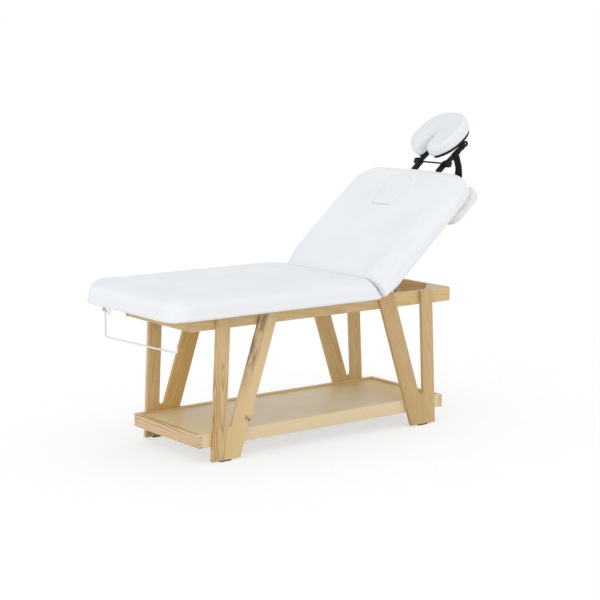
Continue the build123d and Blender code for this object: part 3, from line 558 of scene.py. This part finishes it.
def smoothed(mesh, co, share, rounds):
    """Points moved towards the mean of their neighbours."""
    edges = np.zeros(len(mesh.edges) * 2, dtype=int)
    mesh.edges.foreach_get("vertices", edges)
    a, b = edges.reshape(-1, 2).T
    count = len(co)
    degree = np.bincount(a, minlength=count) + np.bincount(b, minlength=count)
    for _ in range(rounds):
        mean = np.empty_like(co)
        for axis in range(3):
            mean[:, axis] = np.bincount(a, co[b, axis], count) + np.bincount(b, co[a, axis], count)
        co = co + share * (mean / degree[:, None] - co)
    return co


def smoothstep(value, low, high):
    t = np.clip((value - low) / (high - low), 0, 1)
    return t * t * (3 - 2 * t)


# Padded pieces, each grown from its CAD solid and board under air pressure

def padded_start(name, padded_nodes, voxel, pull):
    """A remeshed copy of a CAD pad and what it encloses, with the backrest's pieces turned flat."""
    bm = bmesh.new()
    for node in padded_nodes:
        bm.from_mesh(nodes[node].data)
    mesh = bpy.data.meshes.new(name)
    bm.to_mesh(mesh)
    bm.free()
    if name != "foot_cushion":
        mesh.transform(flat_to_raised.inverted())
    obj = linked(name, mesh, cover)
    remesh = obj.modifiers.new("Remesh", "REMESH")
    remesh.mode = "VOXEL"
    remesh.voxel_size = voxel / 1000
    apply_modifiers(obj)
    mesh = obj.data
    co = smoothed(mesh, points_of(mesh), 0.5, 2)
    set_points(mesh, co)
    set_points(mesh, co - normals_of(mesh) * pull / 1000)
    return obj


def inflate(swelling, frames=20):
    """Runs one cloth simulation for all the pads, then keeps each point near where it started."""
    starts = {}
    for obj, still, cap in swelling:
        starts[obj.name] = points_of(obj.data)
        group = obj.vertex_groups.new(name="held")
        group.add([int(i) for i in np.flatnonzero(still)], 1.0, "REPLACE")
        cloth = obj.modifiers.new("Cloth", "CLOTH")
        settings = cloth.settings
        settings.quality = 4
        settings.mass = 0.25
        settings.tension_stiffness = 25
        settings.compression_stiffness = 25
        settings.shear_stiffness = 12
        settings.bending_stiffness = 3
        settings.use_pressure = True
        settings.uniform_pressure_force = 4
        settings.effector_weights.gravity = 0
        settings.vertex_group_mass = "held"
        cloth.collision_settings.use_collision = False
    for number in range(1, frames + 1):
        bpy.context.scene.frame_set(number)
    for obj, still, cap in swelling:
        start = starts[obj.name]
        apply_modifiers(obj)
        moved = points_of(obj.data) - start
        length = np.linalg.norm(moved, axis=1)
        limit = cap / 1000 * np.tanh(length / (cap / 1000)) / np.maximum(length, 1e-9)
        set_points(obj.data, start + moved * limit[:, None])
        obj.vertex_groups.clear()
    bpy.context.scene.frame_set(1)


def settle(obj):
    """Turns a pad back to its raised place and smooths its surface."""
    if obj.name != "foot_cushion":
        obj.data.transform(flat_to_raised)
    subdivide = obj.modifiers.new("Subdivision", "SUBSURF")
    subdivide.levels = 1
    subdivide.render_levels = 1
    apply_modifiers(obj)


def flat_points(obj):
    """A mesh's points in millimetres from the middle of the frame, with the backrest flat."""
    co = points_of(obj.data) * 1000
    co[:, 0] -= middle_x * 1000
    return co


def keep_points(obj, co):
    """Writes back points that flat_points gave."""
    co = co.copy()
    co[:, 0] += middle_x * 1000
    set_points(obj.data, co / 1000)


def depth_in(co, x_low, x_high, half, low_radius, high_radius):
    """How far each point lies inside a plan outline with rounded corners."""
    x = co[:, 0]
    y = np.abs(co[:, 1])
    depth = np.minimum(np.minimum(x - x_low, x_high - x), half - y)
    for centre_x, radius, is_corner in (
        (x_low + low_radius, low_radius, x < x_low + low_radius),
        (x_high - high_radius, high_radius, x > x_high - high_radius),
    ):
        across = y - (half - radius)
        corner = is_corner & (across > 0)
        depth = np.where(corner, radius - np.hypot(x - centre_x, across), depth)
    return depth


def undulate(obj, size, height, seed):
    """Shallow, slow unevenness of a hand-covered foam pad."""
    normals = normals_of(obj.data)
    co = points_of(obj.data)
    wave = np.array([noise.noise(Vector(p) * 1000 / size + Vector((seed, 0, 0))) for p in co])
    set_points(obj.data, co + normals * (wave * height / 1000)[:, None])


def gathered(obj, corner_x, radius, bottom, outward):
    """Small pleats where the cover is drawn round a corner, near its lower edge."""
    co = flat_points(obj)
    normals = normals_of(obj.data)
    away_x = (co[:, 0] - (corner_x - outward * radius)) * outward
    away_y = np.abs(co[:, 1]) - (pad_half - radius)
    turn = np.arctan2(np.maximum(away_y, 0), np.maximum(away_x, 1e-6))
    in_corner = smoothstep(away_x, 0, 12) * smoothstep(away_y, 0, 12)
    low = 1 - smoothstep(co[:, 2], bottom + 4, bottom + 36)
    wave = np.sin(turn * 30 + np.sign(co[:, 1]) * 0.8) + 0.5 * np.sin(turn * 47)
    keep_points(obj, co + normals * (0.75 * wave * in_corner * low)[:, None])


def fuller_end(obj, place_x, lean, outward, top):
    """Fills out the rounded top edge of a pad's hinge end, so that the two pads meet in a shallow valley."""
    co = flat_points(obj)
    c = math.cos(math.radians(lean))
    s = math.sin(math.radians(lean))
    inside = -((co[:, 0] - place_x) * outward * c + (co[:, 2] - hinge_z) * s)
    below = top - co[:, 2]
    share = np.exp(-((inside - 3) ** 2 + (below - 3) ** 2) / 180)
    share *= 1 - smoothstep(np.abs(co[:, 1]), 300, 350)
    push = np.array([outward * c, 0, s + 1])
    keep_points(obj, co + share[:, None] * 5.5 * push / np.linalg.norm(push))


def backrest_form(obj):
    """Softens the backrest's upper corners, where the foam is drawn down, most at the far hinge corner."""
    co = flat_points(obj)
    upper = smoothstep(co[:, 2], 655, 728)
    side = pad_half - np.abs(co[:, 1])
    head = np.clip(1 - (back_end - co[:, 0]) / 170, 0, 1) * np.clip(1 - side / 170, 0, 1) * upper
    end_x = hinge_x - back_gap + (co[:, 2] - hinge_z) * math.tan(math.radians(back_lean))
    low = np.clip(1 - (co[:, 0] - end_x) / 130, 0, 1) * np.clip(1 - side / 130, 0, 1) * upper
    far = co[:, 1] > 0
    co[:, 0] -= 13 * head
    co[:, 1] -= np.sign(co[:, 1]) * (13 * head + np.where(far, 16, 10) * low)
    co[:, 2] -= 6 * head + np.where(far, 30 * low ** 1.3, 20 * low ** 1.5)
    keep_points(obj, co)


def draped_edge(obj, depth, where, bottom, drop):
    """The cover's lower edge, drawn down past the board and round under it."""
    co = flat_points(obj)
    share = (1 - smoothstep(depth, 22, 60)) * (1 - smoothstep(co[:, 2], bottom + 5, bottom + 30))
    share *= where
    co[:, 2] -= drop * share
    co[:, 1] += np.sign(co[:, 1]) * 2 * share * (1 - smoothstep(depth, 2, 14))
    keep_points(obj, co)


def crowned(obj, low, high, rise):
    """A fuller foot pad: its top rises, except where it meets the backrest."""
    co = flat_points(obj)
    share = smoothstep(co[:, 2], low, high) * (1 - smoothstep(co[:, 0], hinge_x - 170, hinge_x - 60))
    co[:, 2] += rise * share
    keep_points(obj, co)


def cushion_form(obj):
    """A fuller crown, a shallow crease above the slot and full ends beside the slot's mouth."""
    co = flat_points(obj)
    c = math.cos(cushion_slope)
    s = math.sin(cushion_slope)
    y = co[:, 1]
    along = (co[:, 0] - cushion_x) * c - (co[:, 2] - cushion_z) * s
    height = (co[:, 0] - cushion_x) * s + (co[:, 2] - cushion_z) * c
    crease = np.exp(-(y / 11) ** 2) * (1 - smoothstep(along, 5, 85)) * smoothstep(along, -45, -20)
    dip = 5.0 * crease * smoothstep(height, 36, 60)
    mouth = np.exp(-((along + 132) ** 2 + (np.abs(y) - 34) ** 2) / (2 * 22 ** 2))
    crown = 11 * smoothstep(height, 8, 56)
    co[:, 0] -= (dip - crown) * s + 6 * mouth
    co[:, 1] -= np.sign(y) * 6 * mouth
    co[:, 2] -= (dip - crown) * c
    keep_points(obj, co)


def plug_outline():
    """Points round the face plug's plan: two small and two large corners joined by straight sides."""
    foot_half = 72
    head_half = 91
    small = 15
    large = 72
    lean = math.atan2(head_half - foot_half, plug_length)
    small_y = foot_half - small * (1 - math.sin(lean)) / math.cos(lean)
    large_y = foot_half + (math.sin(lean) * (plug_length - large) - large) / math.cos(lean)
    side_angle = math.pi / 2 + lean
    half = []
    for x, y, radius, first, last in (
        (plug_start + small, small_y, small, math.pi, side_angle),
        (plug_start + plug_length - large, large_y, large, side_angle, 0.0),
    ):
        for angle in np.linspace(first, last, 40):
            half.append((x + radius * math.cos(angle), y + radius * math.sin(angle)))
    corners = half + [(x, -y) for x, y in reversed(half)]
    points = []
    for (x, y), (next_x, next_y) in zip(corners, corners[1:] + corners[:1]):
        count = max(1, int(math.dist((x, y), (next_x, next_y)) / 1.5))
        for i in range(count):
            points.append((x + (next_x - x) * i / count, y + (next_y - y) * i / count))
    return np.array(points)


def flush_rim(obj, shift, level=None):
    """Brings the top round the face plug's edge to one level and nearly closes the gap.

    The backrest gives the level, the plug takes it.
    """
    obj.data.transform(flat_to_raised.inverted())
    co = flat_points(obj)
    outline = plug_outline()
    near = np.flatnonzero((co[:, 2] > 712) & (np.abs(co[:, 1]) < 125) & (co[:, 0] > back_end - 300))
    away = outline[None, :, :] - co[near][:, None, :2]
    length = np.hypot(away[:, :, 0], away[:, :, 1])
    closest = length.argmin(axis=1)
    rows = np.arange(len(near))
    distance = length[rows, closest]
    towards = away[rows, closest] / np.maximum(distance, 0.01)[:, None]
    share = 1 - smoothstep(distance, 12, 24)
    on_top = smoothstep(co[near, 2], 715, 721)
    raise_all = 0.0
    if level is None:
        level = float(np.median(co[near, 2][(distance > 18) & (distance < 30)]))
        shift = shift * (1 + 0.5 * np.maximum(0, towards[:, 0]))
    else:
        raise_all = level - float(np.median(co[near, 2][distance > 14]))
    wanted = level - 0.2 * np.exp(-((distance / 2.2) ** 2))
    co[near, 2] += ((wanted - co[near, 2]) * share + raise_all * (1 - share)) * on_top
    co[near, :2] += towards * (shift * (1 - smoothstep(distance, 4, 10)) * on_top)[:, None]
    keep_points(obj, co)
    obj.data.transform(flat_to_raised)
    return level


# Name, nodes it is grown from, voxel, pull and cap on the swelling, body, fill, and the height below which
# the cover is held, in millimetres
pad_list = (
    ("foot_cushion", ("foot_pad", "foot_board"), 8, 0.8, 4.0, "frame", 0.9, 646),
    ("backrest_cushion", ("backrest_pad", "backrest_board", "cradle_sockets"),
     7, 0.8, 4.0, "backrest", 0.9, 648),
    ("face_plug_cushion", ("face_plug", "face_plug_board"), 5, 0.5, 1.6, "face_plug", 0.9, 650),
    ("face_rest_cushion", ("face_cushion",), 4, 1.5, 3.0, "face_cushion", 0.85, 8),
    ("armrest_cushion", ("armrest_pad", "armrest_board"), 6, 1.0, 4.0, "armrest", 0.85, 543),
)
pads = {}
swelling_list = []
for name, grown_from, voxel, pull, cap, _, _, held_below in pad_list:
    pads[name] = padded_start(name, grown_from, voxel, pull)
    co = flat_points(pads[name])
    if name == "face_rest_cushion":
        height = (co[:, 0] - cushion_x) * math.sin(cushion_slope)
        height += (co[:, 2] - cushion_z) * math.cos(cushion_slope)
    else:
        height = co[:, 2]
    swelling_list.append((pads[name], height < held_below, cap))
inflate(swelling_list)

# Forms and edges, still with the backrest flat: each underside first, drawn up inside the board's plan
for name, x_low, x_high, half, low_radius, high_radius, bottom in (
    ("foot_cushion", foot_end + 12, hinge_x - 34, pad_half - 12, 91, square, foot_low),
    ("backrest_cushion", hinge_x + 24, back_end - 12, pad_half - 12, square, 108, back_low),
    ("armrest_cushion", armrest_start + 22, armrest_end - 22, armrest_half - 22, 36, 36, armrest_low),
):
    co = flat_points(pads[name])
    depth = depth_in(co, x_low, x_high, half, low_radius, high_radius)
    co[:, 2] += np.where(co[:, 2] < bottom + 6, smoothstep(depth, 1, 8) * 3.2, 0)
    if name == "armrest_cushion":
        # The photograph shows it longer at its head end than the solid is
        co[:, 0] += 17 * smoothstep(co[:, 0], back_end - 150, back_end + 18)
    keep_points(pads[name], co)
crowned(pads["foot_cushion"], 650, 724, 6)
co = flat_points(pads["foot_cushion"])
depth = depth_in(co, foot_end, hinge_x - 7, pad_half, foot_corner, square)
at_end = 1 - smoothstep(co[:, 0], foot_end + 30, foot_end + 70)
draped_edge(pads["foot_cushion"], depth, at_end, foot_low, 3.5)
co = flat_points(pads["backrest_cushion"])
depth = depth_in(co, hinge_x, back_end, pad_half, square, back_corner)
at_sides = smoothstep(np.abs(co[:, 1]), 285, 320) * smoothstep(co[:, 0], hinge_x + 10, hinge_x + 90)
draped_edge(pads["backrest_cushion"], depth, at_sides, back_low, 9)
gathered(pads["foot_cushion"], foot_end, foot_corner, foot_low, -1)
gathered(pads["backrest_cushion"], back_end, back_corner, back_low, 1)
fuller_end(pads["foot_cushion"], hinge_x - foot_gap, foot_lean, 1, foot_high)
fuller_end(pads["backrest_cushion"], hinge_x - back_gap, back_lean, -1, back_high)
backrest_form(pads["backrest_cushion"])
cushion_form(pads["face_rest_cushion"])
for seed, (name, obj) in enumerate(pads.items()):
    undulate(obj, 95, 0.8 if name != "face_plug_cushion" else 0.3, 7.3 * seed)

for obj in pads.values():
    settle(obj)
pad_level = flush_rim(pads["backrest_cushion"], 1.0)
flush_rim(pads["face_plug_cushion"], 0.5, pad_level)

for name, grown_from, _, _, _, body, fill, _ in pad_list:
    obj = pads[name]
    only_material(obj.data, {"frame": cover, "face_cushion": cushion_cover}.get(body, raised_cover))
    obj.data.shade_smooth()
    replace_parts(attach(obj, body), grown_from[0])


# Cover in the hinge

def hinge_fold():
    """A folded strip of cover between the pads' ends, shaped for the raised backrest."""
    foot_turn = math.radians(foot_lean)
    back_turn = math.radians(back_lean) - rest_angle
    back_x, back_z = raised(hinge_x - back_gap, hinge_z)
    fold_half = 377.0
    corner_start = 320
    corner_radius = 61
    clear = 0.8
    low = 16

    def on_foot(along):
        return hinge_x - foot_gap + clear - along * math.sin(foot_turn), hinge_z + along * math.cos(foot_turn)

    def on_back(along):
        return back_x - clear + along * math.sin(back_turn), back_z + along * math.cos(back_turn)

    rings = []
    for step in range(49):
        y = fold_half * math.sin(math.pi / 2 * (step / 24 - 1))
        over = max(0.0, abs(y) - corner_start)
        drop = corner_radius - math.sqrt(corner_radius ** 2 - over ** 2)
        foot_top = 101 - drop
        back_top = 87 - drop - 20 * max(0.0, 1 - (pad_half - abs(y)) / 130) ** 1.5
        ring = [(0.0, low + (foot_top - low) * share) for share in np.linspace(0, 1, 5)]
        ring += [(share, foot_top + (back_top - foot_top) * share) for share in np.linspace(0, 1, 11)[1:-1]]
        ring += [(1.0, low + (back_top - low) * share) for share in np.linspace(1, 0, 5)]
        points = []
        for share, along in ring:
            foot_x, foot_z = on_foot(along)
            far_x, far_z = on_back(along)
            points.append(place(foot_x + (far_x - foot_x) * share, y, foot_z + (far_z - foot_z) * share))
        rings.append(points)
    obj = skin("hinge_fold", rings, cover)
    middle = 50.0
    start_x, start_z = on_foot(middle)
    end_x, end_z = on_back(middle)
    start = place(start_x, 0, start_z)
    end = place(end_x, 0, end_z)
    normal_turn = (foot_turn - back_turn) / 2
    normal = Vector((math.cos(normal_turn), 0, math.sin(normal_turn)))
    end = start + normal * (end - start).dot(normal)
    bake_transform(obj)


hinge_fold()


# Webbing

def ribbon_ring(centre, across, out, half_width):
    """Six points round a flat strap's section."""
    edge = half_width - webbing_half_thick
    return [
        centre + across * -edge + out * -webbing_half_thick,
        centre + across * edge + out * -webbing_half_thick,
        centre + across * half_width,
        centre + across * edge + out * webbing_half_thick,
        centre + across * -edge + out * webbing_half_thick,
        centre + across * -half_width,
    ]


def arm_point(distance):
    """A point on the near cradle arm's centre line, raised."""
    return raised(arm_pivot_x + distance * math.cos(arm_slope), arm_pivot_z - distance * math.sin(arm_slope))


def armrest_strap():
    """A loop round the near cradle arm and the strap that hangs from it, turning a quarter on its way."""
    loop_x, loop_z = arm_point(77)
    hang_x, hang_z = arm_point(82)
    slope = rest_angle - arm_slope
    arm_along = Vector((math.cos(slope), 0, math.sin(slope)))
    arm_up = Vector((-math.sin(slope), 0, math.cos(slope)))
    side = Vector((0, 1, 0))
    centre = place(loop_x, arm_y, loop_z)
    strap = woven("strap_weave", upright, along_table)
    boxiness = 0.45
    loop = []
    for step in range(24):
        angle = 2 * math.pi * step / 24
        c = math.cos(angle)
        s = math.sin(angle)
        reach_y = math.copysign(abs(c) ** boxiness, c) * 0.0047
        reach_up = math.copysign(abs(s) ** boxiness, s) * 0.0137
        out = (side * c * 0.6 + arm_up * s).normalized()
        point = centre + side * reach_y + arm_up * reach_up
        loop.append(ribbon_ring(point, arm_along, out, strap_half_width))
    loop_obj = skin("armrest_strap_loop", loop, strap, closed=True)
    rings = []
    top = loop_z - 12 / math.cos(slope)
    low = hang_z - 12.3 - 105
    tail = 62
    reach = strap_half_width * math.cos(slope)
    for step in range(49):
        share = step / 48
        z = top + (low - tail - top) * share
        ease = smoothstep(z, low, low - tail)
        turn = math.pi / 2 * share ** 1.7
        across = Vector((math.cos(turn), -math.sin(turn), 0))
        out = Vector((math.sin(turn), math.cos(turn), 0))
        across.z = math.tan(slope) * math.cos(turn) * max(0.0, 1 - share / 0.4)
        width = reach * across.length
        x = loop_x + (hang_x - loop_x) * smoothstep(-z, -top, -top + 12)
        x += 14 * smoothstep(-z, -top, -top + 60) - 44 * ease
        rings.append(ribbon_ring(place(x, arm_y, z), across.normalized(), out, width))
    hanging = skin("armrest_strap", rings, strap)
    for obj in (loop_obj, hanging):
        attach(obj, "cradle_arms")
    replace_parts(hanging, "armrest_strap")


armrest_strap()


def armrest_slings():
    """Two strips from under the backrest board down to the armrest."""
    down = (math.sin(rest_angle), 0, -math.cos(rest_angle))
    weave = woven("sling_weave", down, across_table)
    path = ((45, 1.5), (20, 1.5), (4, 1.7), (0.9, 4.0), (-0.2, 12), (-0.6, 40), (-0.2, 62), (0, 75))
    flat = [Vector((sling_x + forward, 0, back_low - drop)) for forward, drop in path]
    slings = []
    for side, side_name in ((-1, "near"), (1, "far")):
        rings = []
        for i, point in enumerate(flat):
            ahead = flat[min(i + 1, len(flat) - 1)] - flat[max(i - 1, 0)]
            ahead.normalize()
            out = Vector((-ahead.z, 0, ahead.x))
            x, z = raised(point.x, point.z)
            turned = Matrix.Rotation(-rest_angle, 3, "Y") @ out
            centre = place(x, side * sling_y, z)
            rings.append(ribbon_ring(centre, Vector(across_table), turned, sling_half_width))
        sling = skin(f"armrest_sling_{side_name}", rings, weave)
        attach(sling, "backrest")
        slings.append(sling)
    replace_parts(slings[0], "armrest_webbing")


armrest_slings()


# Softened edges on the sawn boards

def soften(node, width):
    """Welds the imported mesh and takes the sharpness off its edges, by modifiers only."""
    obj = nodes[node]
    weld = obj.modifiers.new("Weld", "WELD")
    weld.merge_threshold = 0.00002
    bevel = obj.modifiers.new("Bevel", "BEVEL")
    bevel.width = width / 1000
    bevel.segments = 2
    bevel.limit_method = "ANGLE"
    bevel.angle_limit = math.radians(40)
    bevel.use_clamp_overlap = True
    bevel.harden_normals = False


for node in boards:
    if not node.startswith("leg") and node != "shelf_cleats":
        soften(node, 0.8 if node.startswith("shelf_rail") else 1.5)


# Floor, light and camera

def floor_material():
    """Pale floor that reads as white where nothing shades it and keeps the table's shadow."""
    t = Tree("pale_floor")
    speck = t.noise(object_point(t), 3.0, 2.0)
    tint = t.mix(t.span(speck, 0.3, 0.7), (0.90, 0.90, 0.90), (0.885, 0.885, 0.885))
    diffuse = t.make("ShaderNodeBsdfDiffuse", {"Color": tint})
    faint = t.make("ShaderNodeBsdfDiffuse", {"Color": t.mix(0.55, tint, (0, 0, 0))})
    glow = t.make("ShaderNodeEmission", {"Color": (1, 1, 1, 1), "Strength": 0.63})
    seen = t.make("ShaderNodeLightPath", out=0)
    lifted = t.make("ShaderNodeAddShader", {0: faint, 1: glow})
    shader = t.make("ShaderNodeMixShader", {0: seen, 1: diffuse, 2: lifted})
    t.make("ShaderNodeOutputMaterial", {"Surface": shader})
    return t.material


def floor():
    """A wide floor plane for the picture only."""
    reach = 40.0
    mesh = bpy.data.meshes.new("floor")
    mesh.from_pydata([(-reach, -reach, 0), (reach, -reach, 0), (reach, reach, 0), (-reach, reach, 0)],
                     [], [(0, 1, 2, 3)])
    linked("floor", mesh, floor_material())


def sky():
    """Soft light from all round, while the camera and reflections see plain white."""
    world = bpy.data.worlds.new("studio")
    bpy.context.scene.world = world
    world.use_nodes = True
    tree = world.node_tree
    tree.nodes.clear()
    path = tree.nodes.new("ShaderNodeLightPath")
    seen = path.outputs["Is Camera Ray"]
    for kind in ("Is Glossy Ray", "Is Transmission Ray"):
        either = tree.nodes.new("ShaderNodeMath")
        either.operation = "MAXIMUM"
        tree.links.new(seen, either.inputs[0])
        tree.links.new(path.outputs[kind], either.inputs[1])
        seen = either.outputs[0]
    light = tree.nodes.new("ShaderNodeBackground")
    light.inputs["Color"].default_value = (0.97, 0.985, 1.0, 1)
    light.inputs["Strength"].default_value = 0.84
    white = tree.nodes.new("ShaderNodeBackground")
    white.inputs["Color"].default_value = (1, 1, 1, 1)
    white.inputs["Strength"].default_value = 1.0
    mix = tree.nodes.new("ShaderNodeMixShader")
    output = tree.nodes.new("ShaderNodeOutputWorld")
    tree.links.new(seen, mix.inputs[0])
    tree.links.new(light.outputs[0], mix.inputs[1])
    tree.links.new(white.outputs[0], mix.inputs[2])
    tree.links.new(mix.outputs[0], output.inputs["Surface"])


def sun(name, direction, strength, spread):
    """A wide, soft lamp that shines one way; its spread is in degrees."""
    lamp = bpy.data.lights.new(name, "SUN")
    lamp.energy = strength
    lamp.angle = math.radians(spread)
    obj = bpy.data.objects.new(name, lamp)
    bpy.context.scene.collection.objects.link(obj)
    obj.rotation_euler = Vector(direction).to_track_quat("-Z", "Y").to_euler()


def camera():
    """The photograph's camera, fitted to the frame, the legs and the shelf; its angles are in radians."""
    yaw = 0.6473
    pitch = 0.1589
    roll = 0.0033
    ahead = Vector((math.sin(yaw) * math.cos(pitch), math.cos(yaw) * math.cos(pitch), -math.sin(pitch)))
    right = Vector((math.cos(yaw), -math.sin(yaw), 0))
    up = right.cross(ahead)
    turned_right = right * math.cos(roll) + up * math.sin(roll)
    turned_up = up * math.cos(roll) - right * math.sin(roll)
    focal_pixels = 1601.87
    picture_pixels = 600
    lens = bpy.data.cameras.new("camera")
    lens.sensor_width = 36
    lens.lens = lens.sensor_width * focal_pixels / picture_pixels
    lens.clip_end = 200
    obj = bpy.data.objects.new("camera", lens)
    bpy.context.scene.collection.objects.link(obj)
    turn = Matrix((turned_right, turned_up, -ahead)).transposed()
    stand = place(-4264.9, -5695.9, 1741.9)
    obj.matrix_world = Matrix.Translation(stand) @ turn.to_4x4()
    bpy.context.scene.camera = obj


floor()
sky()
sun("top", (0.0, 0.15, -1.0), 0.26, 60)
sun("end", (1.0, 0.25, -0.15), 0.50, 40)
sun("side", (0.15, 1.0, -0.15), 0.24, 40)
camera()
bpy.context.scene.view_settings.view_transform = "Standard"
